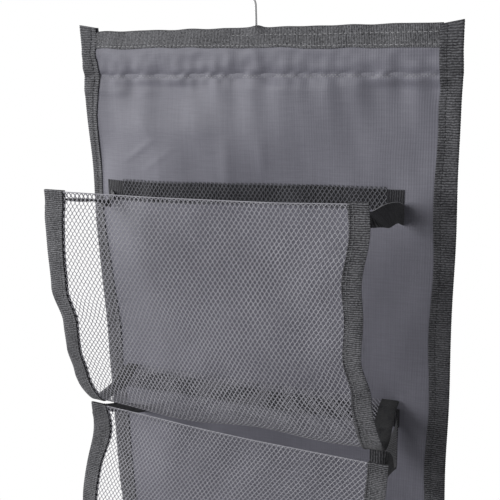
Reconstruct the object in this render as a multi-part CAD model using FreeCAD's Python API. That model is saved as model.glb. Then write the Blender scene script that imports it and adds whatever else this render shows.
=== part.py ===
"""Hanging shoe organizer: a bound cloth panel on a swivel hook, with four net pockets.

Millimetres, +Z up, +X to the right of someone facing the pockets, pockets towards -Y.
The origin is where the hook rests on a rail: the inside top of its bend, in the hook's plane.
"""
import FreeCAD, Part
import math
import os

os.makedirs("parts", exist_ok=True)

# Panel and its cloth
PANEL_WIDTH = 330.0
PANEL_HEIGHT = 930.0
CLOTH = 0.8
BINDING_LEG = 17.0
BINDING_THICKNESS = 0.8
TOP_BINDING_LEG = 13.0
TAPE_END_RISE = 6.0

# Hook, bent from one wire
WIRE_RADIUS = 1.4
HOOK_RADIUS = 21.0
NECK_RADIUS = 8.0
SHANK_ABOVE_PANEL = 18.0
TIP_ANGLE = -20.0

# Hanger bar inside the sleeve
BAR_LENGTH = 290.0
BAR_HEIGHT = 26.0
BAR_THICKNESS = 5.0
BAR_DROP = 1.5
BAR_END_RADIUS = 6.0
SHANK_CLEARANCE = 0.05
WINDOW_WIDTH = 12.0
WINDOW_HEIGHT = 9.0
WINDOW_DROP = 11.0
SLEEVE_CLEARANCE = 0.2
SLEEVE_DEPTH = 36.8
FLAP_MARGIN = 1.0
SHANK_SLOT_RADIUS = 3.0
CAP_RADIUS = 2.3
CAP_HEIGHT = 2.5
WASHER_HEIGHT = 0.6

# Pockets, sewn on a little left of the panel's middle
POCKET_COUNT = 4
POCKET_PITCH = 193.0
FIRST_STRIP_DROP = 130.0
POCKET_HALF_WIDTH = 134.0
POCKET_SHIFT = -10.0
POCKET_DEPTH = 108.0
CORNER_RADIUS = 24.0
MOUTH_ABOVE_STRIP = 13.0
FLOOR_BELOW_STRIP = 186.0
TAPE_WIDTH = 17.0
TAPE_THICKNESS = 1.6
NET_THICKNESS = 1.0
STRIP_THICKNESS = 0.8
STRIP_MARGIN = 1.0
STRAP_THICKNESS = 1.0
STRAP_GAP = 0.4
HINGE_OFFSET = 1.5
FOLD_GAP = 1.2

THREAD_THICKNESS = 0.3
THREAD_HEIGHT = 0.8

# Levels and planes worked out from the sizes above
neck_rise = math.sqrt((HOOK_RADIUS + NECK_RADIUS) ** 2 - NECK_RADIUS ** 2)
hook_centre_z = -(HOOK_RADIUS - WIRE_RADIUS)
neck_z = hook_centre_z - neck_rise
panel_top = neck_z - SHANK_ABOVE_PANEL
panel_bottom = panel_top - PANEL_HEIGHT
panel_back = -(BAR_THICKNESS / 2 + SLEEVE_CLEARANCE)
panel_front = panel_back - CLOTH
flap_front = BAR_THICKNESS / 2 + SLEEVE_CLEARANCE
flap_back = flap_front + CLOTH
sheet_half = PANEL_WIDTH / 2 - BINDING_THICKNESS
binding_inner = PANEL_WIDTH / 2 - BINDING_LEG


def block(x0, x1, y0, y1, z0, z1):
    """Box between two corners."""
    return Part.makeBox(x1 - x0, y1 - y0, z1 - z0, FreeCAD.Vector(x0, y0, z0))


def rod(radius, z0, z1):
    """Upright cylinder on the hook's axis."""
    return Part.makeCylinder(radius, z1 - z0, FreeCAD.Vector(0, 0, z0))


def save(name, shape):
    """Write one node and stop on anything that isn't valid solid geometry."""
    if not shape.isValid() or not shape.Solids:
        raise ValueError(name + " is not a valid solid")
    shape.exportStep("parts/" + name + ".step")


def hook_point(centre_x, centre_z, radius, degrees):
    """Point on a circle in the hook's plane."""
    angle = math.radians(degrees)
    return FreeCAD.Vector(centre_x + radius * math.cos(angle), 0, centre_z + radius * math.sin(angle))


def hook_wire():
    """Straight shank, a small neck bend and the round hook that opens to the right."""
    shank_bottom = panel_top - WINDOW_DROP - BAR_DROP - WASHER_HEIGHT - CAP_HEIGHT
    lean = math.degrees(math.atan2(neck_rise, NECK_RADIUS))
    neck_start = FreeCAD.Vector(0, 0, neck_z)
    neck_middle = hook_point(-NECK_RADIUS, neck_z, NECK_RADIUS, lean / 2)
    neck_end = hook_point(-NECK_RADIUS, neck_z, NECK_RADIUS, lean)
    sweep_start = lean + 180
    bend_middle = hook_point(0, hook_centre_z, HOOK_RADIUS, (sweep_start + TIP_ANGLE) / 2)
    tip = hook_point(0, hook_centre_z, HOOK_RADIUS, TIP_ANGLE)
    foot = FreeCAD.Vector(0, 0, shank_bottom)
    path = Part.Wire([
        Part.LineSegment(foot, neck_start).toShape(),
        Part.Arc(neck_start, neck_middle, neck_end).toShape(),
        Part.Arc(neck_end, bend_middle, tip).toShape(),
    ])
    section = Part.Wire([Part.Circle(foot, FreeCAD.Vector(0, 0, 1), WIRE_RADIUS).toShape()])
    wire = path.makePipeShell([section], True, False)
    return wire.fuse(Part.makeSphere(WIRE_RADIUS, tip)).removeSplitter()


def ring(z_top, height):
    """Steel ring that fits round the shank under the bar's bridge."""
    return rod(CAP_RADIUS, z_top - height, z_top).cut(rod(WIRE_RADIUS, z_top - height, z_top))


def hanger_bar():
    """Flat wooden bar with round ends, a bore for the shank and a window for its end ring."""
    top = panel_top - BAR_DROP
    half = BAR_LENGTH / 2
    bar = block(-half, half, -BAR_THICKNESS / 2, BAR_THICKNESS / 2, top - BAR_HEIGHT, top)
    corners = [edge for edge in bar.Edges if abs(edge.BoundBox.YLength - BAR_THICKNESS) < 0.001]
    bar = bar.makeFillet(BAR_END_RADIUS, corners)
    bore = rod(WIRE_RADIUS + SHANK_CLEARANCE, top - WINDOW_DROP - 1, top + 1)
    window_top = top - WINDOW_DROP
    window = block(-WINDOW_WIDTH / 2, WINDOW_WIDTH / 2, -BAR_THICKNESS, BAR_THICKNESS,
                   window_top - WINDOW_HEIGHT, window_top)
    return bar.cut(bore).cut(window)


def sleeve_flap():
    """Top of the panel cloth, folded back over the bar and sewn down as a flap behind it."""
    half = binding_inner - FLAP_MARGIN
    fold = block(-half, half, panel_back, flap_back, panel_top - CLOTH, panel_top)
    back = block(-half, half, flap_front, flap_back, panel_top - SLEEVE_DEPTH, panel_top)
    foot = block(-half, half, panel_back, flap_back,
                 panel_top - SLEEVE_DEPTH - CLOTH, panel_top - SLEEVE_DEPTH)
    slot = rod(SHANK_SLOT_RADIUS, panel_top - 2 * CLOTH, panel_top + CLOTH)
    return fold.fuse(back).fuse(foot).cut(slot).removeSplitter()


def top_binding():
    """Tape folded over the sleeve's top edge, with a buttonhole for the shank."""
    t = BINDING_THICKNESS
    half = binding_inner
    front = block(-half, half, panel_front - t, panel_front, panel_top - TOP_BINDING_LEG, panel_top + t)
    over = block(-half, half, panel_front - t, flap_back + t, panel_top, panel_top + t)
    back = block(-half, half, flap_back, flap_back + t, panel_top - TOP_BINDING_LEG, panel_top + t)
    slot = rod(SHANK_SLOT_RADIUS, panel_top - CLOTH, panel_top + 2 * t)
    return front.fuse(over).fuse(back).cut(slot).removeSplitter()


def side_binding(side):
    """Tape folded round one side edge of the panel, its end standing above the top corner."""
    t = BINDING_THICKNESS
    outer = PANEL_WIDTH / 2
    low = panel_bottom
    high = panel_top + TAPE_END_RISE
    front = block(binding_inner, outer, panel_front - t, panel_front, low, high)
    back = block(binding_inner, outer, panel_back, panel_back + t, low, high)
    edge = block(outer - t, outer, panel_front - t, panel_back + t, low, high)
    tape = front.fuse(back).fuse(edge).removeSplitter()
    return tape if side > 0 else tape.mirror(FreeCAD.Vector(0, 0, 0), FreeCAD.Vector(1, 0, 0))


def bottom_binding():
    """Tape folded round the panel's bottom edge, between the side tapes."""
    t = BINDING_THICKNESS
    half = binding_inner
    high = panel_bottom + TOP_BINDING_LEG
    front = block(-half, half, panel_front - t, panel_front, panel_bottom, high)
    back = block(-half, half, panel_back, panel_back + t, panel_bottom, high)
    edge = block(-half, half, panel_front - t, panel_back + t, panel_bottom, panel_bottom + t)
    return front.fuse(back).fuse(edge).removeSplitter()


def front_profile(thickness, x0, x1, floor_z, mouth_z):
    """Upright sheet whose foot turns back in a quarter round, as one strip from x0 to x1."""
    middle_y = panel_front - POCKET_DEPTH
    bend_y = middle_y + CORNER_RADIUS
    bend_z = floor_z + CORNER_RADIUS
    end_y = bend_y - FOLD_GAP
    sheet = block(x0, x1, middle_y - thickness / 2, middle_y + thickness / 2, bend_z, mouth_z)
    outer = Part.makeCylinder(CORNER_RADIUS + thickness / 2, x1 - x0,
                              FreeCAD.Vector(x0, bend_y, bend_z), FreeCAD.Vector(1, 0, 0))
    inner = Part.makeCylinder(CORNER_RADIUS - thickness / 2, x1 - x0,
                              FreeCAD.Vector(x0, bend_y, bend_z), FreeCAD.Vector(1, 0, 0))
    quarter = block(x0, x1, middle_y - thickness, end_y, floor_z - thickness, bend_z)
    return sheet.fuse(outer.cut(inner).common(quarter)).removeSplitter()


def floor_sheet(thickness, x0, x1, floor_z):
    """Level sheet from the panel to the front's turned-in foot."""
    back_y = panel_front - HINGE_OFFSET + TAPE_THICKNESS / 4
    front_y = panel_front - POCKET_DEPTH + CORNER_RADIUS + FOLD_GAP
    return block(x0, x1, front_y, back_y, floor_z - thickness / 2, floor_z + thickness / 2)


def save_pocket(index):
    """One net pocket: its strip on the panel, front, floor, edge tapes and two mouth straps."""
    name = "pocket_" + str(index + 1)
    strip_top = panel_top - FIRST_STRIP_DROP - index * POCKET_PITCH
    floor_z = strip_top - FLOOR_BELOW_STRIP
    mouth_z = strip_top + MOUTH_ABOVE_STRIP
    left = POCKET_SHIFT - POCKET_HALF_WIDTH
    right = POCKET_SHIFT + POCKET_HALF_WIDTH
    net_left = left + TAPE_WIDTH
    net_right = right - TAPE_WIDTH
    save(name + "_back_strip", block(left + STRIP_MARGIN, right - STRIP_MARGIN, panel_front - STRIP_THICKNESS,
                                     panel_front, strip_top - TAPE_WIDTH, strip_top))
    save(name + "_net_front", front_profile(NET_THICKNESS, net_left, net_right, floor_z, mouth_z))
    save(name + "_net_floor", floor_sheet(NET_THICKNESS, net_left, net_right, floor_z))
    for side, x0, x1 in (("left", left, net_left), ("right", net_right, right)):
        save(name + "_front_tape_" + side, front_profile(TAPE_THICKNESS, x0, x1, floor_z, mouth_z))
        save(name + "_floor_tape_" + side, floor_sheet(TAPE_THICKNESS, x0, x1, floor_z))
    reach = STRAP_GAP + STRAP_THICKNESS
    strap_left = (left - reach, left - STRAP_GAP)
    strap_right = (right + STRAP_GAP, right + reach)
    for side, (x0, x1) in (("left", strap_left), ("right", strap_right)):
        strap = block(x0, x1, panel_front - POCKET_DEPTH, panel_front - HINGE_OFFSET + 0.5,
                      strip_top - TAPE_WIDTH, strip_top)
        save(name + "_strap_" + side, strap)


cap_top = panel_top - BAR_DROP - WINDOW_DROP - WASHER_HEIGHT
save("hook_wire", hook_wire())
save("hook_washer", ring(cap_top + WASHER_HEIGHT, WASHER_HEIGHT - 0.1))
save("hook_end_cap", ring(cap_top, CAP_HEIGHT))
save("hanger_bar", hanger_bar())
save("back_panel", block(-sheet_half, sheet_half, panel_front, panel_back,
                         panel_bottom + BINDING_THICKNESS, panel_top))
save("sleeve_flap", sleeve_flap())
save("top_binding", top_binding())
save("left_binding", side_binding(-1))
save("right_binding", side_binding(1))
save("bottom_binding", bottom_binding())
save("sleeve_seam_thread", block(-binding_inner, binding_inner, panel_front - THREAD_THICKNESS, panel_front,
                                 panel_top - SLEEVE_DEPTH - THREAD_HEIGHT, panel_top - SLEEVE_DEPTH))
for pocket in range(POCKET_COUNT):
    save_pocket(pocket)
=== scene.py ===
"""Visual model of the hanging shoe organizer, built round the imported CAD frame."""
import math

import bpy
import numpy as np
from mathutils import Matrix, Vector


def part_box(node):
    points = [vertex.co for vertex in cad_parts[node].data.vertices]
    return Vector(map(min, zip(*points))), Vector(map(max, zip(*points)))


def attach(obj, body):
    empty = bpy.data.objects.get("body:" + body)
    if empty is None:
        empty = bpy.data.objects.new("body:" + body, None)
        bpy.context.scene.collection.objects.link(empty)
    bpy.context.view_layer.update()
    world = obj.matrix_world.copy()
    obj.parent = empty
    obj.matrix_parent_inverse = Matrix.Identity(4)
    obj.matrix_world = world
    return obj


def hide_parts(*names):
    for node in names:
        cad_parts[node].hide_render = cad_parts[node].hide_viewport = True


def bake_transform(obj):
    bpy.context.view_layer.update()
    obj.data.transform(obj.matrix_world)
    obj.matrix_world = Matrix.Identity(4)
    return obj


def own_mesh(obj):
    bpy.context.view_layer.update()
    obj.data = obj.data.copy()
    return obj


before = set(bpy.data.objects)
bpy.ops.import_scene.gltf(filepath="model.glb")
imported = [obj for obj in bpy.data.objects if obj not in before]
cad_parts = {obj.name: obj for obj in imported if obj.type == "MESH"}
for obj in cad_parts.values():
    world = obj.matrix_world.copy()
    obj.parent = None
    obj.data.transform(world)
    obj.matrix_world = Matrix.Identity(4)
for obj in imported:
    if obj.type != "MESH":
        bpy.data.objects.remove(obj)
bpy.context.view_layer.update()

MM = 0.001
SHARP_ANGLE = math.radians(50)
WARP, WEFT = 0.0021, 0.0017  # pitch of the panel cloth's threads, in metres
scene = bpy.context.scene


def box(node):
    """A CAD node's lowest and highest corner in millimetres."""
    low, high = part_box(node)
    return np.array(low) / MM, np.array(high) / MM


# Levels and planes read from the frame, in millimetres
panel_low, panel_high = box("back_panel")
left_low, left_high = box("left_binding")
right_low, right_high = box("right_binding")
flap_high = box("sleeve_flap")[1]
TOP = panel_high[2]
BOTTOM = left_low[2]
FRONT = panel_low[1]
CLOTH = panel_high[1] - panel_low[1]
MIDDLE = FRONT + CLOTH / 2
EDGE = right_high[0]
INNER = right_low[0]
SEAM = TOP - box("sleeve_seam_thread")[1][2]
FLAP_BACK = flap_high[1] - CLOTH / 2
STRAP_HINGE = FRONT - 1.4

# Cloth sizes that repeat, in millimetres
CLOTH_THICK = 0.55
BINDING_THICK = 0.62
RIBBON_THICK = 0.6
STRAP_HALF_WIDTH = 8.5
FLAT = (0, 0, 8.5)  # a strap that stands on edge, against the tape or the panel
RIB = 2.0
FINE_RIB = 1.65
CELL = 3.85
RISE = 5.7
STITCH_PITCH = 3.6
MOUTH_INSET = (9, -11)
POCKETS = 4
UPWARD, OUTWARD = (0.0, 0.0, 1.0), (0.0, -1.0, 0.0)


# ---------------------------------------------------------------- helpers
def ripple(seed, *axes):
    """Smooth repeatable noise, about -1 to 1. Each axis is (coordinates, wavelength)."""
    draw = np.random.default_rng(seed)
    total = 0.0
    for _ in range(7):
        angle = draw.uniform(0, 2 * math.pi)
        for along, wavelength in axes:
            turn = draw.uniform(0.45, 1.25) * draw.choice([-1.0, 1.0])
            angle = angle + along * (2 * math.pi * turn / wavelength)
        total = total + np.sin(angle)
    return total / 2.6


def ease(low, high, x):
    """0 at low, 1 at high, smooth in between."""
    t = np.clip((x - low) / (high - low), 0, 1)
    return t * t * (3 - 2 * t)


def bell(x, centre, width):
    return np.exp(-((x - centre) / width) ** 2)


def unit(v):
    return v / np.maximum(np.linalg.norm(v, axis=-1, keepdims=True), 1e-9)


def repeated(vector, count):
    return np.tile(vector, (count, 1))


def spaced(points, axis=1):
    """Unit directions along a grid of points."""
    return unit(np.gradient(points, axis=axis))


def make(name, points, quads, material, slot, uv=None):
    """A smooth mesh from points in millimetres and four-sided faces."""
    points = np.asarray(points, float).reshape(-1, 3)
    quads = np.asarray(quads, np.int32).reshape(-1, 4)
    mesh = bpy.data.meshes.new(name)
    mesh.vertices.add(len(points))
    mesh.vertices.foreach_set("co", (points * MM).astype(np.float32).ravel())
    mesh.loops.add(quads.size)
    mesh.loops.foreach_set("vertex_index", quads.ravel())
    mesh.polygons.add(len(quads))
    mesh.polygons.foreach_set("loop_start", np.arange(0, quads.size, 4, dtype=np.int32))
    mesh.update(calc_edges=True)
    if uv is not None:
        layer = mesh.uv_layers.new(name="cloth")
        layer.data.foreach_set("uv", (np.asarray(uv, float).reshape(-1, 2)[quads.ravel()] * MM)
                               .astype(np.float32).ravel())
    mesh.polygons.foreach_set("use_smooth", np.ones(len(quads), bool))
    mesh.set_sharp_from_angle(angle=SHARP_ANGLE)
    mesh.materials.append(material)
    obj = bpy.data.objects.new(name, mesh)
    scene.collection.objects.link(obj)
    return obj


def on_body(obj, body, *nodes):
    """Ride a piece on a body; it stands for the CAD nodes given."""
    if nodes:
        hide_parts(*nodes)
    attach(obj, body)
    return obj


def slab(points, thickness):
    """Closed thin sheet round a grid of points (n, m, 3)."""
    n, m = points.shape[:2]
    normal = unit(np.cross(np.gradient(points, axis=0), np.gradient(points, axis=1)))
    half = np.broadcast_to(np.asarray(thickness, float) / 2, (n, m))[..., None]
    verts = np.concatenate([(points + normal * half).reshape(-1, 3),
                            (points - normal * half).reshape(-1, 3)])
    i = np.arange(n * m).reshape(n, m)
    face = np.stack([i[:-1, :-1], i[1:, :-1], i[1:, 1:], i[:-1, 1:]], -1).reshape(-1, 4)
    back = face[:, ::-1] + n * m
    rim = [(i[:-1, 0], i[1:, 0]), (i[-1, :-1], i[-1, 1:]),
           (i[1:, -1], i[:-1, -1]), (i[0, 1:], i[0, :-1])]
    sides = [np.stack([q, p, p + n * m, q + n * m], -1) for p, q in rim]
    return verts, np.concatenate([face, back] + sides)


def grid_uv(us, vs):
    """Two copies of a grid's own lengths, for the two faces of a slab."""
    u, v = np.meshgrid(us, vs, indexing="ij")
    one = np.stack([u, v], -1).reshape(-1, 2)
    return np.concatenate([one, one])


def tubes(paths, across, normals, wide, thick):
    """Closed four-sided yarns. paths, across and normals are (k, n, 3)."""
    k, n = paths.shape[:2]
    a, b = across * (wide / 2), normals * (thick / 2)
    ring = np.stack([paths + a, paths + b, paths - a, paths - b], 2)
    verts = ring.reshape(-1, 3)
    i = np.arange(k * n * 4).reshape(k, n, 4)
    j = np.roll(i, -1, axis=2)
    walls = np.stack([i[:, :-1], j[:, :-1], j[:, 1:], i[:, 1:]], -1).reshape(-1, 4)
    ends = np.concatenate([i[:, 0, ::-1], i[:, -1, :]])
    return verts, np.concatenate([walls, ends])


def stitches(points, along, normal, length, wide, high):
    """One small rounded stitch at each point."""
    along, normal = unit(along), unit(normal)
    side = unit(np.cross(normal, along))
    stations = (-0.5, -0.36, 0.0, 0.36, 0.5)
    girths = (0.35, 0.9, 1.0, 0.9, 0.35)
    rises = (-0.15, 0.2, 0.45, 0.2, -0.15)
    angles = np.radians([0, 60, 120, 180, 240, 300])
    rings = []
    for station, girth, rise in zip(stations, girths, rises):
        centre = points + along * (station * length) + normal * (rise * high)
        rings.append(np.stack([centre + side * (math.cos(t) * wide / 2 * girth)
                               + normal * (math.sin(t) * high / 2 * girth) for t in angles], 1))
    verts = np.stack(rings, 1)
    i = np.arange(verts.size // 3).reshape(verts.shape[:3])
    j = np.roll(i, -1, axis=2)
    walls = np.stack([i[:, :-1], j[:, :-1], j[:, 1:], i[:, 1:]], -1).reshape(-1, 4)
    first, last = i[:, 0], i[:, -1]
    caps = [first[:, [3, 2, 1, 0]], first[:, [5, 4, 3, 0]],
            last[:, [0, 1, 2, 3]], last[:, [0, 3, 4, 5]]]
    return verts.reshape(-1, 3), np.concatenate([f[:, ::-1] for f in [walls] + caps])


def joined(parts):
    """Several (points, quads) as one."""
    points, quads, start = [], [], 0
    for p, q in parts:
        points.append(p)
        quads.append(np.asarray(q) + start)
        start += len(p)
    return np.concatenate(points), np.concatenate(quads)


# -------------------------------------------------------------- materials
class Nodes:
    """A small wrapper for making node materials."""

    def __init__(self, name):
        self.material = bpy.data.materials.new(name)
        self.material.use_nodes = True
        self.tree = self.material.node_tree
        self.shader = self.tree.nodes["Principled BSDF"]

    def add(self, kind, inputs=(), **settings):
        node = self.tree.nodes.new(kind)
        for key, value in settings.items():
            setattr(node, key, value)
        for key, value in dict(inputs).items():
            self.join(value, node.inputs[key])
        return node

    def join(self, value, socket):
        if isinstance(value, bpy.types.NodeSocket):
            self.tree.links.new(value, socket)
        else:
            socket.default_value = value

    def math(self, kind, a, b=0.0, c=0.0):
        return self.add("ShaderNodeMath", {0: a, 1: b, 2: c}, operation=kind).outputs[0]

    def times(self, a, b):
        return self.math("MULTIPLY", a, b)

    def plus(self, a, b):
        return self.math("ADD", a, b)

    def parts(self, vector):
        return self.add("ShaderNodeSeparateXYZ", {0: vector}).outputs

    def uv(self):
        """Metres along and across the cloth."""
        return self.parts(self.add("ShaderNodeUVMap", uv_map="cloth").outputs[0])[:2]

    def xyz(self):
        """Metres in the row frame."""
        return self.parts(self.add("ShaderNodeTexCoord").outputs["Object"])

    def vector(self, x=0.0, y=0.0, z=0.0):
        return self.add("ShaderNodeCombineXYZ", {0: x, 1: y, 2: z}).outputs[0]

    def noise(self, vector, scale, detail=2.0):
        inputs = {"Vector": vector, "Scale": scale, "Detail": detail, "Roughness": 0.5}
        return self.add("ShaderNodeTexNoise", inputs).outputs[0]

    def spread(self, value, low, high, to_low, to_high):
        inputs = {0: value, 1: low, 2: high, 3: to_low, 4: to_high}
        return self.add("ShaderNodeMapRange", inputs).outputs[0]

    def tint(self, factor, dark, light):
        ramp = self.add("ShaderNodeMix", {0: factor}, data_type="RGBA")
        ramp.inputs[6].default_value = (*dark, 1)
        ramp.inputs[7].default_value = (*light, 1)
        return ramp.outputs[2]

    def bump(self, height, distance, strength=1.0):
        inputs = {"Height": height, "Distance": distance, "Strength": strength}
        return self.add("ShaderNodeBump", inputs).outputs[0]

    def set(self, **values):
        for key, value in values.items():
            self.join(value, self.shader.inputs[key.replace("_", " ")])
        return self.material


def panel_cloth():
    """Coated nylon: fine weave, faint slubs both ways, soft sheen."""
    n = Nodes("panel_cloth")
    u, v = n.uv()
    across = n.noise(n.vector(n.times(u, 60.0), n.times(v, 650.0)), 1.0)
    down = n.noise(n.vector(n.times(u, 480.0), n.times(v, 25.0)), 1.0)
    cloud = n.noise(n.vector(u, v), 14.0, 3.0)
    right = n.spread(u, -0.05, 0.12, 0.25, 1.0)
    wander = n.noise(n.vector(u, v), 22.0, 1.0)
    warp = n.plus(n.times(u, 2 * math.pi / WARP), n.times(wander, 9.0))
    weft = n.plus(n.times(v, 2 * math.pi / WEFT), n.times(wander, 7.0))
    warp = n.times(n.math("SINE", warp), right)
    weave = n.plus(warp, n.times(n.math("SINE", weft), 0.35))
    mixed = n.plus(n.times(across, 0.4), n.times(down, 0.3))
    mixed = n.plus(mixed, n.times(cloud, 0.30))
    shade = n.plus(n.spread(mixed, 0.35, 0.65, 0.0, 0.85), n.times(weave, 0.16))
    height = n.plus(n.times(weave, 0.35), n.times(mixed, 1.6))
    return n.set(
        Base_Color=n.tint(shade, (0.140, 0.138, 0.168), (0.182, 0.180, 0.214)),
        Roughness=n.spread(cloud, 0.3, 0.7, 0.52, 0.60),
        Specular_IOR_Level=0.45,
        Sheen_Weight=0.15,
        Sheen_Roughness=0.4,
        Normal=n.bump(height, 0.00015, 0.6),
    )


def ribbed_tape(name, dark, light, rib=RIB, mottle=0.35, painted_shade_from=None):
    """Ribbed woven tape: raised ribs across, broken into yarns, with fuzz; its colour is darker in
    the grooves and lighter on the rib tops, painted shade and highlight.
    Past the given length along it, in millimetres, its colour is darkened towards black: painted
    shade where the tape runs under the pocket's floor."""
    n = Nodes(name)
    u, v = n.uv()
    wander = n.noise(n.vector(n.times(u, 160.0), n.times(v, 90.0)), 1.0)
    phase = n.plus(n.times(v, 2 * math.pi / (rib * MM)), n.times(wander, 5.0))
    wave = n.math("MULTIPLY_ADD", n.math("SINE", phase), 0.5, 0.5)
    knots = n.noise(n.vector(u, v), 620.0, 1.0)
    fuzz = n.noise(n.vector(u, v), 1900.0)
    patch = n.noise(n.vector(u, v), 60.0, 3.0)
    # painted shade and highlight: the rib wave darkens the colour in the grooves and lightens it on
    # the rib tops
    shade = n.times(wave, n.spread(knots, 0.35, 0.65, 0.45, 1.1))
    shade = n.plus(n.times(shade, 1.0 - mottle), n.times(knots, mottle))
    shade = n.plus(shade, n.times(n.math("SUBTRACT", patch, 0.5), 0.5))
    shade = n.plus(shade, n.times(n.math("SUBTRACT", fuzz, 0.5), 0.4))
    # painted shade: past that length the tape's colour is darkened almost to black
    if painted_shade_from:
        shade = n.times(shade, n.spread(v, painted_shade_from * MM, (painted_shade_from + 10) * MM, 1.0, 0.04))
    height = n.plus(n.plus(wave, n.times(knots, 0.8)), n.times(fuzz, 0.5))
    return n.set(
        Base_Color=n.tint(n.spread(shade, 0.1, 0.8, 0.0, 1.0), dark, light),
        Roughness=n.spread(fuzz, 0.3, 0.7, 0.6, 0.78),
        Specular_IOR_Level=0.3,
        Sheen_Weight=0.1,
        Sheen_Roughness=0.5,
        Normal=n.bump(height, 0.00035),
    )


def yarn_finish(n, place, fine, broad, colours, rough, gloss, sheen):
    """Twisted yarn: fine variation over a broad one. colours and rough are (low, high)."""
    grain = n.noise(place, fine)
    cloud = n.noise(place, broad)
    shade = n.plus(n.times(grain, 0.6), n.times(cloud, 0.4))
    return n.set(
        Base_Color=n.tint(n.spread(shade, 0.35, 0.65, 0.0, 1.0), *colours),
        Roughness=n.spread(grain, 0.3, 0.7, *rough),
        Specular_IOR_Level=gloss,
        Sheen_Weight=sheen,
        Normal=n.bump(grain, 0.00008, 0.6),
    )


def thread_material(name, dark, light):
    """Sewing thread."""
    n = Nodes(name)
    return yarn_finish(n, n.vector(*n.xyz()), 900.0, 30.0, (dark, light), (0.54, 0.68), 0.35, 0.15)


def net_material(name, broad, colours, rough, gloss, sheen):
    """Knitted polyester yarn; its fine filaments run with the thread."""
    n = Nodes(name)
    return yarn_finish(n, n.vector(*n.uv()), 2600.0, broad, colours, rough, gloss, sheen)


def steel(name, colour, rough, fine, shine=1.0):
    """Plated or brushed steel with drawing marks along the wire."""
    n = Nodes(name)
    x, y, z = n.xyz()
    drawn = n.noise(n.vector(n.times(x, 30.0), n.times(y, 30.0), z), fine, 3.0)
    smudge = n.noise(n.vector(x, y, z), 160.0, 3.0)
    mixed = n.plus(n.times(drawn, 0.5), n.times(smudge, 0.5))
    return n.set(
        Base_Color=n.tint(smudge, tuple(0.86 * c for c in colour), colour),
        Metallic=shine,
        Roughness=n.spread(mixed, 0.3, 0.7, rough * 0.7, rough * 1.5),
        Normal=n.bump(drawn, 0.00003, 0.4),
    )


def wood():
    """Planed pale wood with grain along the bar."""
    n = Nodes("bar_wood")
    x, y, z = n.xyz()
    wander = n.noise(n.vector(n.times(x, 6.0), y, z), 12.0, 3.0)
    rings = n.plus(n.times(z, 900.0), n.times(wander, 9.0))
    grain = n.math("MULTIPLY_ADD", n.math("SINE", rings), 0.5, 0.5)
    pores = n.noise(n.vector(n.times(x, 40.0), n.times(y, 900.0), n.times(z, 900.0)), 1.0)
    shade = n.plus(n.times(grain, 0.6), n.times(pores, 0.4))
    return n.set(
        Base_Color=n.tint(shade, (0.38, 0.24, 0.12), (0.62, 0.45, 0.27)),
        Roughness=n.spread(pores, 0.3, 0.7, 0.5, 0.7),
        Normal=n.bump(shade, 0.0001, 0.4),
    )


CLOTH_LOOK = panel_cloth()
BINDING_LOOK = ribbed_tape("binding_tape", (0.008, 0.008, 0.010), (0.165, 0.165, 0.178))
TOP_LOOK = ribbed_tape("top_binding_tape", (0.006, 0.006, 0.008), (0.195, 0.195, 0.208),
                       rib=1.3, mottle=0.85)
# The pocket tapes are darkened past 196 mm along them, where they run along the floors: painted
# shade.
POCKET_TAPE_LOOK = ribbed_tape("pocket_tape", (0.003, 0.003, 0.005), (0.200, 0.200, 0.213),
                               rib=FINE_RIB, painted_shade_from=196)
STRIP_LOOK = ribbed_tape("strip_tape", (0.006, 0.006, 0.008), (0.034, 0.034, 0.040), mottle=0.5)
STRAP_LOOK = ribbed_tape("strap_tape", (0.005, 0.005, 0.007), (0.080, 0.080, 0.086))
NET_LOOK = net_material("pocket_net", 40.0, ((0.265, 0.26, 0.29), (0.39, 0.385, 0.42)),
                        (0.5, 0.62), 0.4, 0.15)
STRIP_NET_LOOK = net_material("strip_net", 60.0, ((0.070, 0.070, 0.080), (0.135, 0.135, 0.150)),
                              (0.55, 0.68), 0.35, 0.0)
LIGHT_THREAD = thread_material("light_thread", (0.20, 0.20, 0.21), (0.36, 0.36, 0.37))
DARK_THREAD = thread_material("dark_thread", (0.012, 0.012, 0.015), (0.03, 0.03, 0.035))
GREY_THREAD = thread_material("grey_thread", (0.13, 0.13, 0.14), (0.22, 0.22, 0.23))

SATIN = (0.55, 0.55, 0.57)
# The hook wire's steel is near-white and only slightly metallic: painted reflection of the bright
# surroundings on the plated wire.
for node, look in (("hook_wire", steel("hook_steel", (0.93, 0.93, 0.93), 0.25, 40.0, 0.15)),
                   ("hook_washer", steel("washer_steel", SATIN, 0.32, 90.0)),
                   ("hook_end_cap", steel("cap_steel", SATIN, 0.32, 90.0)),
                   ("hanger_bar", wood())):
    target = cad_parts[node]
    target.data.materials.clear()
    target.data.materials.append(look)


# ------------------------------------------------------------------ panel
# Folds listed: (depth, (x, drop) of the top, run, width, sideways lean)
FOLDS = (
    (0.9, (-24, 12), 26, 5, 3), (0.9, (-1, 12), 26, 4, 5),
    (1.0, (-29, 86), 60, 6, 2), (0.6, (3, 84), 40, 5, 2),
    (0.5, (-92, 88), 26, 5, -36), (0.4, (-76, 98), 24, 5, -34),
)
RIDGE_DEPTH = 8.0


def streak(x, drop, at, run, width, lean):
    """A soft fold: a ridge from at = (x, drop) that runs down by run, leaning sideways by lean."""
    t = (drop - at[1]) / run
    off = (x - at[0] - lean * t) / width
    return np.exp(-off ** 2) * np.clip(4 * t * (1 - t), 0, None)


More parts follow.
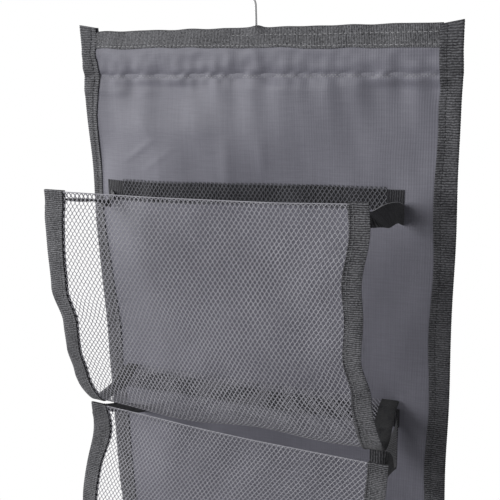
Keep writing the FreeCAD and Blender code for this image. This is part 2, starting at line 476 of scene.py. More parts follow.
def sleeve_and_seam(x, z, drop, below):
    """How far forward the cloth stands over the bar, and the puckers on both sides of the seam."""
    sleeve = ease(12, 19, drop) * ease(SEAM, SEAM - 9, drop)
    out = sleeve * (0.9 + 0.30 * ripple(21, (x, 60), (z, 16)) + 0.14 * ripple(22, (x, 15), (z, 20)))
    pucker = ripple(11, (x, 10.5))
    gather = ripple(12, (x, 26))
    near = np.exp(-np.abs(below) / 6.0)
    fade = np.where(below > 0, np.exp(-np.maximum(below, 0) / 22.0),
                    np.exp(np.minimum(below, 0) / 8.0))
    out = out - (1.1 + 0.5 * pucker) * bell(below, 0, 2.6)
    out = out + 0.5 * pucker * near * ease(0.5, 3.0, np.abs(below)) + 0.7 * gather * fade
    welt = bell(below, 13 + 0.02 * (x + EDGE), 4.0) * (1 + 0.4 * gather)
    return out + 0.6 * ease(-20, -120, x) * welt


def left_ridge(x, drop, below):
    """A broad ridge down the left, whose far side falls straight to the edge."""
    crease = -117 + 25 * ease(45, 115, drop) - 22 * ease(125, 165, drop) + 35 * ease(170, 240, drop)
    away = x - crease
    fall = np.clip(-away / (crease - panel_low[0]), 0, 1)
    ridge = np.where(away < 0, 1 - fall, np.exp(-(away / 95.0) ** 2))
    return ease(6, 50, below) * (1 - ease(185, 245, drop)) * RIDGE_DEPTH * ridge


def panel_y(x, z):
    """Depth of the panel cloth's middle at (x, z): sleeve, puckered seam, soft folds and ridge."""
    x, z = np.broadcast_arrays(np.asarray(x, float), np.asarray(z, float))
    drop = TOP - z
    below = drop - SEAM
    out = sleeve_and_seam(x, z, drop, below)
    hang = ease(2, 12, below)
    side = 0.35 + 0.65 * ease(-40, 110, x)
    fade = np.exp(-np.maximum(below - 10, 0) / 55.0)
    out = out + hang * (side * 0.8 * ripple(13, (x + 0.2 * z, 30)) * fade
                        + 1.6 * ripple(14, (x, 210), (z, 260)) + 0.5 * ripple(15, (x, 60), (z, 95)))
    for depth, *fold in FOLDS:
        out = out + depth * streak(x, drop, *fold)
    out = out + left_ridge(x, drop, below)
    out = out - ease(0, 60, below) * 1.6 * np.clip((x - 128) / 37, 0, 1) ** 1.5
    # lower down the cloth keeps back, so that the folded pockets have room
    reach = 1.0 + 12.0 * (1 - ease(180, 240, drop))
    out = np.where(out > 0, reach * np.tanh(out / reach), out)
    # behind the sleeve is the bar, so the cloth may only stand forward of its plane there
    return MIDDLE - np.where(drop < SEAM - 5, np.maximum(out, 0), out)


def build_panel():
    xs = np.linspace(panel_low[0], panel_high[0], 150)
    fine_to = TOP - 120
    zs = np.concatenate([np.arange(TOP, fine_to, -1.5), np.linspace(fine_to, panel_low[2], 236)])
    x, z = np.meshgrid(xs, zs, indexing="ij")
    points = np.stack([x, panel_y(x, z), z], -1)[:, ::-1]
    uv = grid_uv(xs, zs[::-1])
    obj = make("panel_cloth", *slab(points, CLOTH_THICK), CLOTH_LOOK, "panel_cloth", uv)
    return on_body(obj, "panel", "back_panel")


def build_flap():
    """The panel's top, folded back over the bar and sewn down at the seam."""
    xs = np.linspace(-flap_high[0], flap_high[0], 130)
    top = TOP - CLOTH / 2
    stations = [(MIDDLE + t * (FLAP_BACK - MIDDLE), top + 0.25 * math.sin(math.pi * t))
                for t in np.linspace(0, 1, 7)]
    for t in np.linspace(0, 1, 26)[1:]:
        pinch = 1 - ease(SEAM - 9, SEAM - 0.5, t * SEAM)
        stations.append((MIDDLE + 1.2 + (FLAP_BACK - MIDDLE - 1.2) * pinch, top - t * SEAM))
    stations.append((MIDDLE + 1.3, TOP - SEAM - 4.0))
    rows = []
    for y, z in stations:
        level = np.full_like(xs, z)
        wave = 0.3 * ripple(31, (xs, 26), (level, 30)) * (1.0 if y > 1 else 0.2)
        rows.append(np.stack([xs, y + wave, level], -1))
    uv = grid_uv(xs, np.linspace(0, 45, len(rows)))
    mesh = slab(np.stack(rows, 1), CLOTH_THICK)
    obj = make("sleeve_flap_cloth", *mesh, CLOTH_LOOK, "panel_cloth", uv)
    return on_body(obj, "panel", "sleeve_flap")


# --------------------------------------------------------------- bindings
# The left binding's front leg narrows and widens again: widths given at drops below the top
LEG_DROPS = (-8, 40, 50, 60, 72, 100, 140, 185, 240, 300, 375, 480, 940)
LEFT_LEGS = (16.5, 15.6, 14.2, 12.6, 11.0, 9.9, 9.4, 10.5, 13.2, 14.5, 16.0, 17, 17)
TAPE_FOLDED = 34.0
HALF_GAP = CLOTH / 2 + BINDING_THICK / 2
FOLD_ANGLES = (-60, -20, 20, 60)


def leg_width(side, drop):
    """How far the front leg of a side binding reaches in from the edge."""
    if side > 0:
        return 17.0 + 0.5 * ripple(41, (drop, 120)) - 1.2 * bell(drop, 48, 9)
    return (np.interp(drop, LEG_DROPS, LEFT_LEGS) + 0.4 * ripple(42, (drop, 90))
            - 2.4 * bell(drop, 17, 9))


def edge_x(side, z):
    drop = TOP - z
    if side > 0:
        return EDGE + 0.5 + 0.5 * ripple(43, (drop, 110)) + 0.9 * bell(drop, 34, 14)
    return -(EDGE - 0.6) - 0.5 * ripple(44, (drop, 130))


def build_side_binding(side):
    name = "right_binding" if side > 0 else "left_binding"
    crown = TOP + 1.6 if side > 0 else left_high[2]
    zs = np.arange(BOTTOM + 0.2, crown + 0.1, RIB / 4)
    outer = edge_x(side, zs)
    front_leg = leg_width(side, TOP - zs)
    back_leg = TAPE_FOLDED - front_leg
    gap = HALF_GAP + 0.12
    curl = 0.55 * (0.6 + 0.4 * ripple(45 + side, (zs, 60)))
    columns, us = [], []
    for t in (1.0, 0.93, 0.86, 0.78, 0.70, 0.62, 0.5, 0.36, 0.22, 0.1):
        lift = gap + curl * (t > 0.9) + 0.18 * bell(t, 0.86, 0.08) - 0.22 * bell(t, 0.70, 0.05)
        columns.append((outer - side * np.maximum(front_leg * t, 1.0), -lift))
        us.append(17 * t)
    for angle in FOLD_ANGLES:
        a = math.radians(angle)
        columns.append((outer - side * 1.0 + side * (gap + 0.3) * math.cos(a),
                        (gap + 0.05) * math.sin(a)))
        us.append(-angle / 60.0)
    for t in (0.1, 0.3, 0.5, 0.7, 0.85, 1.0):
        columns.append((outer - side * np.maximum(back_leg * t, 1.0), gap + 0.2 * (t > 0.9)))
        us.append(-17 * t)
    grid = []
    for x, dy in columns:
        base = panel_y(np.clip(x, panel_low[0], panel_high[0]), np.minimum(zs, TOP))
        grid.append(np.stack([x, base + dy, zs], -1))
    points = np.stack(grid, 0)
    # the cut end at the top slants up towards the edge
    outward = np.abs(points[..., 0]) - (EDGE - 8.5)
    points[..., 2] += ease(crown - 9, crown, zs) * 0.17 * np.clip(outward, -9, 9)
    if side < 0:
        points = points[::-1]
        us = us[::-1]
    wave = np.sin(2 * math.pi * zs / RIB + 0.9 * ripple(47, (zs, 40)))
    mesh = slab(points, BINDING_THICK + 0.3 * wave)
    tape = make(name + "_tape", *mesh, BINDING_LOOK, "binding_tape", grid_uv(us, zs))
    on_body(tape, "panel", name)
    z = np.arange(BOTTOM + 3, crown - 2, STITCH_PITCH)
    x = edge_x(side, z) - side * (np.interp(z, zs, front_leg) - 5.2)
    y = panel_y(x, np.minimum(z, TOP)) - gap - BINDING_THICK / 2 + 0.02
    mesh = stitches(np.stack([x, y, z], -1), repeated(UPWARD, len(z)),
                    repeated(OUTWARD, len(z)), 2.5, 0.55, 0.4)
    return tape, on_body(make(name + "_stitches", *mesh, DARK_THREAD, "thread"), "panel")


def cross_ribs(xs, depth):
    """Thickness of a tape that runs across, with its ribs."""
    wave = np.sin(2 * math.pi * xs / RIB + 1.5 * ripple(54, (xs, 20)))
    return BINDING_THICK + 2 * depth * wave[:, None]


def top_leg(x):
    """Height of the top binding's front leg: it widens to the right."""
    return 13.6 + 3.4 * ease(-120, 140, x) + 0.35 * ripple(51, (x, 60))


def build_top_binding():
    xs = np.linspace(-INNER - 2, INNER + 2, 420)
    gap = HALF_GAP + 0.1
    bump = 1.6 * bell(xs, 1.5, 5.0)
    crown = TOP + 0.15 + 0.25 * ripple(52, (xs, 34))
    rows, us = [], []
    for t in (1.0, 0.94, 0.86, 0.74, 0.6, 0.46, 0.32, 0.18, 0.06):
        z = crown - top_leg(xs) * t
        lift = gap + 0.35 * (t > 0.95) + 0.12 * ripple(53, (xs, 22), (z, 30)) * t
        y = panel_y(xs, np.minimum(z, TOP)) - lift - 0.5 * bump * (1 - t)
        rows.append(np.stack([xs, y, z + bump * (1 - t)], -1))
        us.append(-15 * t)
    for t in np.linspace(0.08, 0.92, 6):
        y = MIDDLE - gap + (FLAP_BACK - MIDDLE + 2 * gap) * t
        z = crown + 0.5 * math.sin(math.pi * t) + bump
        rows.append(np.stack([xs, np.full_like(xs, y), z], -1))
        us.append(8 * t)
    for t in (0.06, 0.35, 0.65, 1.0):
        y = np.full_like(xs, FLAP_BACK + gap - 0.1 * t)
        rows.append(np.stack([xs, y, crown - top_leg(xs) * t], -1))
        us.append(8 + 15 * t)
    mesh = slab(np.stack(rows, 1), cross_ribs(xs, 0.03))
    obj = make("top_binding_tape", *mesh, TOP_LOOK, "binding_tape", grid_uv(xs, us)[:, ::-1])
    parts = []
    for share, start in ((0.86, -INNER), (0.33, -20.0)):
        x = np.arange(start + 2, INNER - 2, 4.1)
        z = TOP - top_leg(x) * share
        y = panel_y(x, z) - gap - BINDING_THICK / 2 - 0.02
        parts.append(stitches(np.stack([x, y, z], -1), repeated((1.0, 0.0, 0.0), len(x)),
                              repeated(OUTWARD, len(x)), 3.0, 0.6, 0.45))
    thread = make("top_binding_stitches", *joined(parts), LIGHT_THREAD, "thread")
    return on_body(obj, "panel", "top_binding"), on_body(thread, "panel")


def build_bottom_binding():
    xs = np.linspace(-INNER - 2, INNER + 2, 300)
    gap = HALF_GAP + 0.1
    low = BOTTOM + 0.5
    # each row is (height above low, share of the gap, length along the fold)
    front = [(13 * t, -1.0, 13 * t) for t in (1.0, 0.8, 0.5, 0.2)]
    fold = [(-0.2 + 0.5 * (1 - math.cos(math.radians(a))), math.sin(math.radians(a)), -a / 60)
            for a in FOLD_ANGLES]
    back = [(13 * t, 1.0, -13 * t) for t in (0.2, 0.5, 0.8, 1.0)]
    rows, us = [], []
    for height, share, u in front + fold + back:
        z = np.full_like(xs, low + height)
        rows.append(np.stack([xs, panel_y(xs, z) + gap * share, z], -1))
        us.append(u)
    mesh = slab(np.stack(rows, 1)[:, ::-1], cross_ribs(xs, 0.08))
    uv = grid_uv(xs, us[::-1])[:, ::-1]
    obj = make("bottom_binding_tape", *mesh, BINDING_LOOK, "binding_tape", uv)
    return on_body(obj, "panel", "bottom_binding")


def build_seam():
    """Two rows of short light stitches that sink into the puckered seam."""
    rows = []
    for down, shift in ((0.0, 0.0), (1.5, 1.3)):
        x = np.arange(-INNER + 2 + shift, INNER - 2, 3.1)
        z = TOP - SEAM - 0.3 - down + 0.25 * ripple(61, (x, 30))
        y = panel_y(x, z) - 0.35
        along = np.stack([np.ones_like(x), np.gradient(y, x), np.zeros_like(x)], -1)
        rows.append(stitches(np.stack([x, y, z], -1), along, repeated(OUTWARD, len(x)),
                             1.9, 0.38, 0.3))
    obj = make("sleeve_seam_stitches", *joined(rows), LIGHT_THREAD, "thread")
    return on_body(obj, "panel", "sleeve_seam_thread")


panel = build_panel()
panel_pieces = [build_flap(), *build_side_binding(-1), *build_side_binding(1), *build_top_binding(),
                build_bottom_binding(), build_seam()]


# ---------------------------------------------------------------- pockets
# How each pocket hangs: lean of the mouth, drop of the mouth's line at the left, middle and right
LEAN = {1: 3.5, 2: 13.0, 3: 8.0, 4: 6.0}
SAG = {1: (-1.2, 1.5, 1.0), 2: (2.0, 2.0, -12.0), 3: (1.0, 4.0, -5.0), 4: (0.0, 4.0, -3.0)}


class Pocket:
    """Shape of one pocket: a map from the flat net to its hung shape."""

    def __init__(self, number):
        self.n = number
        self.name = "pocket_%d" % number
        self.seed = 100 * number
        low, high = box(self.name + "_net_front")
        floor_low, floor_high = box(self.name + "_net_floor")
        self.strip_low, self.strip_high = box(self.name + "_back_strip")
        self.left = box(self.name + "_front_tape_left")[0][0]
        self.right = box(self.name + "_front_tape_right")[1][0]
        self.mouth = high[2]
        self.plane = low[1] + 0.5
        self.floor = (floor_low[2] + floor_high[2]) / 2
        self.back = floor_high[1]
        self.foot = floor_low[1] - 1.2
        self.radius = self.foot - self.plane
        self.drop = self.mouth - (self.floor + self.radius)
        self.wrap = self.drop + self.radius * math.pi / 2
        self.length = self.wrap + (self.back - self.foot)

    def place(self, u, s, lift=0.0):
        """Row-frame point for flat coordinates u across and s down from the mouth."""
        u, s = np.broadcast_arrays(np.asarray(u, float), np.asarray(s, float))
        bend = np.clip(s - self.drop, 0, self.wrap - self.drop) / self.radius
        flat = np.maximum(s - self.wrap, 0)
        y = self.plane + self.radius * (1 - np.cos(bend)) + flat
        z = self.mouth - np.minimum(s, self.drop) - self.radius * np.sin(bend)
        # normal of the plain sheet, outwards
        ny, nz = -np.cos(bend), -np.sin(bend)
        share = (u - self.left) / (self.right - self.left)
        belly = 4 * share * (1 - share)
        y = y + LEAN[self.n] * (1 - ease(0, self.wrap, s))
        # the mouth's line
        left, middle, right = SAG[self.n]
        line = left * (1 - share) + right * share - middle * belly
        z = z + line * (1 - ease(0, 120, s))
        # how the two long edges stray; both come back to the panel straight
        home = ease(self.length, self.wrap - 8, s)
        x = u + home * ((1 - share) ** 2 * self.stray_left(s) + share ** 2 * self.stray_right(s))
        # the foot of the front hangs a little back and up, on its sides most
        foot = ease(self.drop - 70, self.drop + 15, s) * home
        y = y + 3.0 * foot
        z = z + foot * (3.0 + 3.5 * (1 - share) ** 2)
        # slack of the net between its edges
        front = 1 - ease(self.wrap, self.length, s)
        bulge = belly * 1.5 * np.sin(np.clip(s / self.wrap, 0, 1) * math.pi) * front
        wave = 1.8 * ripple(self.seed + 5, (u, 130), (s, 150))
        wave = wave * ease(0, 25, s + 14) * ease(self.length, self.length - 50, s)
        out = bulge + wave + lift
        floor_sag = 3.0 * belly * np.sin(np.clip(flat / (self.back - self.foot), 0, 1) * math.pi)
        return np.stack([x, y + ny * out, z + nz * out - floor_sag], -1)

    def stray_left(self, s):
        small = 0.8 * ripple(self.seed + 3, (s, 60))
        if self.n == 2:
            return small + 2 + 17 * (1 - ease(6, 92, s)) + 9 * ease(120, 190, s)
        if self.n == 1:
            wave = -2.7 * ease(4, 26, s) + 10.5 * ease(82, 112, s)
            return small + wave + 3.5 * ease(138, 160, s) + 6 * ease(165, 195, s)
        return small + 4.0 * ripple(self.seed + 1, (s, 170)) + 8 * ease(140, 190, s)

    def stray_right(self, s):
        small = 0.8 * ripple(self.seed + 4, (s, 60))
        if self.n == 2:
            return small + 8.3 - 9 * ease(60, 150, s)
        if self.n == 1:
            wave = 5.4 * ease(115, 150, s) + 9 * ease(150, 190, s)
            return small - 5.2 - 3.6 * ease(10, 64, s) + wave
        return small + 4.0 * ripple(self.seed + 2, (s, 170)) + 2.0

    def normal(self, u, s):
        d = 0.6
        a = self.place(u + d, s) - self.place(u - d, s)
        b = self.place(u, s + d) - self.place(u, s - d)
        out = unit(np.cross(b, a))
        return out * np.where(out[..., 1:2] + out[..., 2:3] > 0, -1, 1)

    def stitch_row(self, u, s, lift, length, wide, high):
        """A row of stitches down the pocket, lift above its sheet."""
        centre = self.place(u, s, lift)
        along = self.place(u, s + 1, lift) - centre
        return stitches(centre, along, self.normal(u, s), length, wide, high)


def zigzag(draw, u0, u1, rows, jitter_u, jitter_s):
    """Flat paths (u, s) of a diamond net's strands, two points a turn, and each turn's side."""
    strands = np.arange(math.ceil(u0 / (CELL / 2)), math.floor(u1 / (CELL / 2)) + 1)
    m, j = np.meshgrid(strands, rows, indexing="ij")
    sign = np.where((m + j) % 2 == 0, 1.0, -1.0)
    u = m * CELL / 2 + sign * (CELL / 4 - 0.29) + jitter_u * draw.standard_normal(m.shape)
    s = j * RISE / 2 + jitter_s * draw.standard_normal(m.shape)
    u, s = np.repeat(u, 2, axis=1), np.repeat(s, 2, axis=1)
    s[:, 0::2] -= 0.12 * RISE
    s[:, 1::2] += 0.12 * RISE
    return u, s, sign


def yarn_uv(u, v):
    return np.repeat(np.stack([u, v], -1).reshape(-1, 2), 4, axis=0)


def net_yarns(pocket, s0, s1, lift=0.0, seed=0):
    """Diamond net of zigzag yarns between two lengths of the flat sheet."""
    draw = np.random.default_rng(pocket.seed + seed)
    u0, u1 = pocket.left + MOUTH_INSET[0], pocket.right + MOUTH_INSET[1]
    rows = np.arange(math.floor(s0 / (RISE / 2)), math.ceil(s1 / (RISE / 2)) + 1)
    u, s, sign = zigzag(draw, u0, u1, rows, 0.07, 0.09)
    s = np.clip(s, s0, s1 + 0.001 * np.arange(s.shape[1]))
    u = np.clip(u, u0, u1)
    path = pocket.place(u, s, lift)
    normal = pocket.normal(u, s)
    across = unit(np.cross(normal, spaced(path)))
    over = np.repeat(np.where(sign[:1] > 0, 0.10, -0.10), 2, axis=1)
    path = path + normal * over[..., None]
    return *tubes(path, across, normal, 0.66, 0.46), yarn_uv(u, s)


def ribbon(pocket, side):
    """Side tape folded over the net's edge: front leg, rounded edge and a wider back leg."""
    edge = pocket.right if side > 0 else pocket.left
    s = np.arange(-1.0, pocket.length, FINE_RIB / 4)
    if side < 0:
        reach = 16.4 - 3.6 * ease(10, 110, s) + 0.6 * ripple(pocket.seed + 15, (s, 70))
    else:
        reach = (14.9 - 0.8 * ease(20, 90, s) + 1.2 * ease(100, 150, s)
                 + 0.4 * ripple(pocket.seed + 16, (s, 70)))
    curl = 0.25 * ripple(pocket.seed + 11 + side, (s, 45))
    columns, us = [], []
    for t in (1.0, 0.93, 0.84, 0.74, 0.6, 0.42, 0.24, 0.09):
        lift = 0.75 + 0.22 * (t > 0.9) - 0.2 * bell(t, 0.74, 0.05) + curl * (0.5 - t) * 0.6
        columns.append(pocket.place(edge - side * reach * t, s, lift))
        us.append(15 * t)
    for lift in (0.4, -0.4):
        columns.append(pocket.place(edge + side * 0.15, s, lift))
        us.append(-lift)
    for t in (0.09, 0.4, 0.7, 0.9, 1.1 if side < 0 else 0.97):
        columns.append(pocket.place(edge - side * reach * t, s, -0.75 - 0.15 * (t > 0.95)))
        us.append(-15 * t)
    points = np.stack(columns, 0)
    if side < 0:
        points = points[::-1]
        us = us[::-1]
    wave = np.sin(2 * math.pi * s / FINE_RIB + 0.9 * ripple(pocket.seed + 13 + side, (s, 40)))
    return *slab(points, RIBBON_THICK + 0.28 * wave), grid_uv(us, s)


def smooth_path(values, steps=150):
    """Smooth curve through given values (a Catmull-Rom spline)."""
    values = np.array(values, float)
    padded = np.concatenate([2 * values[:1] - values[1:2], values, 2 * values[-1:] - values[-2:-1]])
    t = np.linspace(0, len(values) - 1, steps)
    a = np.minimum(t.astype(int), len(values) - 2)
    f = (t - a)[:, None]
    p0, p1, p2, p3 = padded[a], padded[a + 1], padded[a + 2], padded[a + 3]
    return 0.5 * (2 * p1 + (p2 - p0) * f + (2 * p0 - 5 * p1 + 4 * p2 - p3) * f * f
                  + (3 * p1 - p0 - 3 * p2 + p3) * f ** 3)


def strap_line(pocket, side):
    """Centre points and width directions of a strap, from the mouth's corner to the panel."""
    edge = pocket.right if side > 0 else pocket.left
    x, y, z = pocket.place(edge, 8.0)
    hinge, top = STRAP_HINGE, pocket.strip_high[2]
    if side > 0 and pocket.n == 1:
        points = [(x - 3, y + 1, z), (x + 1, y + 8, z - 4), (x + 2, y + 28, z - 10),
                  (x + 2.5, -44, z - 14.5), (x + 4, -20, z - 19), (x + 5.5, hinge, top - 18.5)]
        widths = [FLAT, (-6.0, 0, 6.0), (-6.4, 0, 5.6), (-3.5, 0, 7.7), FLAT, FLAT]
    elif side > 0 and pocket.n == 2:
        points = [(x - 14, y + 1.5, z + 13), (x - 5, y + 1.5, z + 11), (x - 1, y + 8, z + 5),
                  (x - 3, y + 20, z - 12), (x - 9, -52, z - 22), (x - 12, -24, z - 16),
                  (edge - 1, hinge, top - 9)]
        widths = [FLAT, (0, 1, 8.5), (2.0, 1, 8.2), (4.5, 0, 7.2), (7.6, 0, 3.6), (6.0, -2, 5.5),
                  FLAT]
    elif side > 0:
        points = [(x - 3, y + 1, z), (x, y + 8, z - 1), (x + 2, y + 26, z - 8),
                  (x + 3, -52, z - 14), (x + 3, -26, z - 13), (edge + 1.5, hinge, top - 10)]
        widths = [FLAT, (2.5, 2, 7.5), (4.0, 0, 7.0), (2.0, 0, 8.0), (-1.0, 0, 8.3), FLAT]
    elif pocket.n == 2:
        lean = (6.6, 0, 5.1)
        points = [(x + 2, y + 1, z - 3), (x + 1, y + 10, z - 1), (x + 3, y + 26, z - 9),
                  (x + 3, -50, z - 21), (x + 2, -26, z - 35), (edge + 20, hinge, top - 38)]
        widths = [FLAT, (7.5, 0, 4.0), lean, lean, lean, (6.6, 0, 5.2)]
    else:
        slack = {1: 2.0, 3: 6.0, 4: 4.0}[pocket.n]
        end = top - 17.5
        lean = (8.5, 0, -0.4)
        points = [(x + 2, y + 1, z - 3), (x + 1, y + 9, z - 2 - 0.4 * slack),
                  (x, y + 30, z - 5 - slack), (x - 1, -42, 0.4 * z + 0.6 * end - slack),
                  (edge - 1.5, -16, end), (edge - 1.5, hinge, end)]
        widths = [FLAT, (7.8, 0, 3.0), lean, lean, (8.0, 0, 2.0), FLAT]
    return points, widths


def build_strap(pocket, side):
    """Short tape from a mouth corner back to the strip's end, slack and twisted; the tapes on the
    right show their light selvedge."""
    points, widths = strap_line(pocket, side)
    centre, half = smooth_path(points), unit(smooth_path(widths))
    length = np.concatenate([[0], np.cumsum(np.linalg.norm(np.diff(centre, axis=0), axis=1))])
    share = np.linspace(-1, 1, 9)
    normal = unit(np.cross(np.gradient(centre, axis=0), half))
    cup = 0.5 * (1 - share ** 2) * side
    grid = (centre[:, None] + half[:, None] * STRAP_HALF_WIDTH * share[None, :, None]
            + normal[:, None] * cup[None, :, None])
    ribs = np.sin(2 * math.pi * length / RIB)[:, None]
    name = "%s_strap_%s" % (pocket.name, "right" if side > 0 else "left")
    uv = grid_uv(length, share * STRAP_HALF_WIDTH)[:, ::-1]
    obj = make(name + "_tape", *slab(grid, 0.7 + 0.24 * ribs), STRAP_LOOK, "pocket_tape", uv)
    on_body(obj, pocket.name + "_straps", name)
    made = [obj]
    if side > 0:
        path = grid[2:, 0 if pocket.n == 2 else -1][None]
        mesh = tubes(path, half[2:][None], normal[2:][None], 0.9, 1.1)
        thread = make(name + "_selvedge", *mesh, LIGHT_THREAD, "thread")
        made.append(on_body(thread, pocket.name + "_straps"))
    for piece in made:
        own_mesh(piece)
    return obj


def strip_rise(pocket, x):
    """How far a strip's sewn line climbs to the right."""
    return (2.6 if pocket.n == 1 else -0.8) * ease(-140, 120, x)


def build_strip(pocket):
    """Dark tape strip sewn to the panel, with smooth ends."""
    xs = np.arange(pocket.strip_low[0] - 4.5, pocket.strip_high[0] + 1.5, 0.85)
    zs = np.linspace(pocket.strip_low[2], pocket.strip_high[2], 10)
    x, z = np.meshgrid(xs, zs, indexing="ij")
    z = z + 0.5 * ripple(pocket.seed + 21, (x, 90)) + strip_rise(pocket, x)
    y = panel_y(x, z) - 0.75 - 0.25 * ripple(pocket.seed + 22, (x, 30))
    ribs = np.sin(2 * math.pi * xs / RIB)[:, None]
    mesh = slab(np.stack([x, y, z], -1), 0.7 + 0.1 * ribs)
    uv = grid_uv(xs, zs)[:, ::-1]
    obj = make(pocket.name + "_strip_tape", *mesh, STRIP_LOOK, "strip_tape", uv)
    return on_body(obj, "panel", pocket.name + "_back_strip")


def build_strip_net(pocket):
    """The net's far edge, sewn flat over the strip."""
    z0, z1 = pocket.strip_low[2] - 1.0, pocket.strip_high[2] + 1.5
    rows = np.arange(0, math.ceil((z1 - z0) / (RISE / 2)) + 1)
    x, s, _ = zigzag(np.random.default_rng(pocket.seed + 71), pocket.strip_low[0] + 14.0,
                     pocket.strip_high[0] - 12.0, rows, 0.12, -0.15)
    z = np.clip(z1 - s, z0, z1 + 0.3) + strip_rise(pocket, x)
    path = np.stack([x, panel_y(x, z) - 1.5, z], -1)
    normal = np.tile(OUTWARD, path.shape[:2] + (1,))
    mesh = tubes(path, unit(np.cross(normal, spaced(path))), normal, 0.74, 0.4)
    obj = make(pocket.name + "_strip_net", *mesh, STRIP_NET_LOOK, "pocket_net", yarn_uv(x, z))
    return on_body(obj, "panel")


def build_hem(p):
    """The mouth: the net turned back on itself as a narrow double edge, with a thick top yarn."""
    *net, net_uv = net_yarns(p, 0.0, 5.0, lift=-0.6, seed=7)
    u = np.linspace(p.left + MOUTH_INSET[0], p.right + MOUTH_INSET[1], 260)
    s = np.full_like(u, 0.2)
    path, normal = p.place(u, s, 0.1)[None], p.normal(u, s)[None]
    edge = tubes(path, unit(np.cross(normal, spaced(path))), normal, 0.8, 0.6)
    uv = np.concatenate([net_uv, yarn_uv(u, s)])
    return on_body(make(p.name + "_mouth_hem", *joined([net, edge]), NET_LOOK, "pocket_net", uv),
                   p.name + "_front")


def build_pocket(number):
    """One pocket with its strip and straps; gives the pieces that are sewn to the panel."""
    p = Pocket(number)
    front_body, floor_body = p.name + "_front", p.name + "_floor"

    def across_corner(piece):
        """Bake the piece's placement into its points; its points already follow the bend where the
        floor turns up into the front.
        """
        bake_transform(piece)

    *mesh, uv = net_yarns(p, 0.0, p.wrap)
    front = make(p.name + "_net_front_yarns", *mesh, NET_LOOK, "pocket_net", uv)
    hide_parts(p.name + "_net_front")
    across_corner(front)
    *mesh, uv = net_yarns(p, p.wrap, p.length)
    floor = make(p.name + "_net_floor_yarns", *mesh, NET_LOOK, "pocket_net", uv)
    on_body(floor, floor_body, p.name + "_net_floor")
    hem = build_hem(p)
    tapes = []
    s = np.arange(2.0, p.length - 3, STITCH_PITCH)
    for side, word, edge in ((-1, "left", p.left), (1, "right", p.right)):
        *mesh, uv = ribbon(p, side)
        tape = make("%s_side_tape_%s" % (p.name, word), *mesh, POCKET_TAPE_LOOK, "pocket_tape", uv)
        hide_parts("%s_front_tape_%s" % (p.name, word), "%s_floor_tape_%s" % (p.name, word))
        inset = np.interp(s, (0, 100), (16.4, 12.8)) if side < 0 else 14.5
        mesh = p.stitch_row(edge - side * (inset - 3.2), s, 1.12, 2.5, 0.5, 0.35)
        tapes += [tape, make("%s_tape_stitches_%s" % (p.name, word), *mesh, GREY_THREAD, "thread")]
    # A row of dark stitches just inside the right tape's inner edge: partly real stitching, partly
    # painted shade standing for the shadow line between tape and net.
    mesh = p.stitch_row(p.right - 13.7, s, 1.2, 2.9, 0.7, 0.45)
    tapes.append(make(p.name + "_tape_edge_stitches", *mesh, DARK_THREAD, "thread"))
    for piece in tapes:
        across_corner(piece)
    straps = [build_strap(p, side) for side in (-1, 1)]
    return [build_strip(p), build_strip_net(p)]


for number in range(1, POCKETS + 1):
    panel_pieces += build_pocket(number)


# ------------------------------------------------- stage, light and camera
FLOOR_RADIUS, FLOOR_DROP = 450.0, 70.0
FOCAL_PIXELS, PHOTO_PIXELS, SENSOR = 787.3, 500, 36.0
AMBIENT = 0.15


def floor_look():
    n = Nodes("floor")
    cloud = n.noise(n.vector(*n.xyz()), 3.0)
    return n.set(Base_Color=n.tint(cloud, (0.86,) * 3, (0.86 * 1.04,) * 3), Roughness=0.8)


def build_floor():
    """A pale disc below the organizer."""
    rings, sides = 8, 72
    angles = np.linspace(0, 2 * math.pi, sides, endpoint=False)
    points = [(0.0, 0.0, 0.0)]
    for k in range(1, rings + 1):
        r = FLOOR_RADIUS * k / rings
        points += [(r * math.cos(a), r * math.sin(a), 0.0) for a in angles]
    points = np.array(points) + (0.0, 0.0, BOTTOM - FLOOR_DROP)
    mesh = bpy.data.meshes.new("floor")
    faces = [(0, 1 + i, 1 + (i + 1) % sides) for i in range(sides)]
    for k in range(rings - 1):
        a, b = 1 + k * sides, 1 + (k + 1) * sides
        faces += [(a + i, b + i, b + (i + 1) % sides, a + (i + 1) % sides) for i in range(sides)]
    mesh.from_pydata([tuple(p * MM) for p in points], [], faces)
    mesh.materials.append(floor_look())
    obj = bpy.data.objects.new("floor", mesh)
    scene.collection.objects.link(obj)


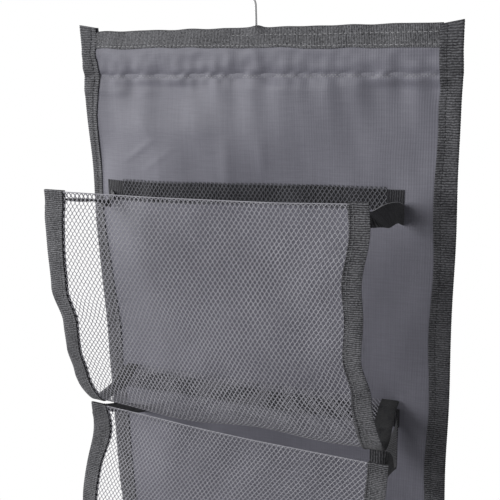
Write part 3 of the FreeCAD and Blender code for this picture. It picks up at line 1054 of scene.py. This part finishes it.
def area_light(name, place, target, size, power):
    """A white rectangular light at place, facing target (metres)."""
    light = bpy.data.lights.new(name, "AREA")
    light.shape = "RECTANGLE"
    light.size, light.size_y = size
    light.energy = power
    obj = bpy.data.objects.new(name, light)
    scene.collection.objects.link(obj)
    place, target = np.array(place, float), np.array(target, float)
    back = unit(place - target)
    right = unit(np.cross((0, 0, 1.0), back))
    up = np.cross(back, right)
    turn = Matrix(np.stack([right, up, back], 1).tolist())
    obj.matrix_world = Matrix.Translation(tuple(place)) @ turn.to_4x4()


def build_world():
    """White where the camera sees it, dim where it lights the object."""
    world = bpy.data.worlds.new("studio")
    scene.world = world
    world.use_nodes = True
    tree = world.node_tree
    seen = tree.nodes["Background"]
    seen.inputs[0].default_value = (1, 1, 1, 1)
    seen.inputs[1].default_value = 1.0
    lit = tree.nodes.new("ShaderNodeBackground")
    lit.inputs[0].default_value = (0.97, 0.98, 1.0, 1)
    lit.inputs[1].default_value = AMBIENT
    path = tree.nodes.new("ShaderNodeLightPath")
    mix = tree.nodes.new("ShaderNodeMixShader")
    tree.links.new(path.outputs["Is Camera Ray"], mix.inputs[0])
    tree.links.new(lit.outputs[0], mix.inputs[1])
    tree.links.new(seen.outputs[0], mix.inputs[2])
    tree.links.new(mix.outputs[0], tree.nodes["World Output"].inputs[0])


def build_camera():
    """The photo's camera, fitted to its marks."""
    yaw, pitch, roll = math.radians(21.4), math.radians(16.67), math.radians(-2.0)
    data = bpy.data.cameras.new("camera")
    data.sensor_width = SENSOR
    data.lens = FOCAL_PIXELS / PHOTO_PIXELS * SENSOR
    data.clip_start, data.clip_end = 0.01, 50
    cam = bpy.data.objects.new("camera", data)
    scene.collection.objects.link(cam)
    turn = (Matrix.Rotation(yaw, 4, "Z") @ Matrix.Rotation(math.pi / 2 - pitch, 4, "X")
            @ Matrix.Rotation(roll, 4, "Z"))
    cam.matrix_world = Matrix.Translation((0.2330, -0.6246, -0.0541)) @ turn
    scene.camera = cam


build_floor()
build_world()
area_light("key", (-0.95, -1.75, 0.55), (0.0, -0.02, -0.3), (0.9, 0.9), 28.0)
area_light("side", (-2.0, -0.25, 0.15), (0.0, -0.02, -0.3), (0.7, 1.2), 30.0)
area_light("sheen", (-1.50, -1.25, -0.25), (0.0, -0.02, -0.25), (0.5, 0.8), 9.0)
area_light("fill", (0.9, -1.7, -0.9), (0.05, -0.02, -0.35), (0.8, 0.8), 2.5)
scene.view_settings.view_transform = "Standard"
build_camera()
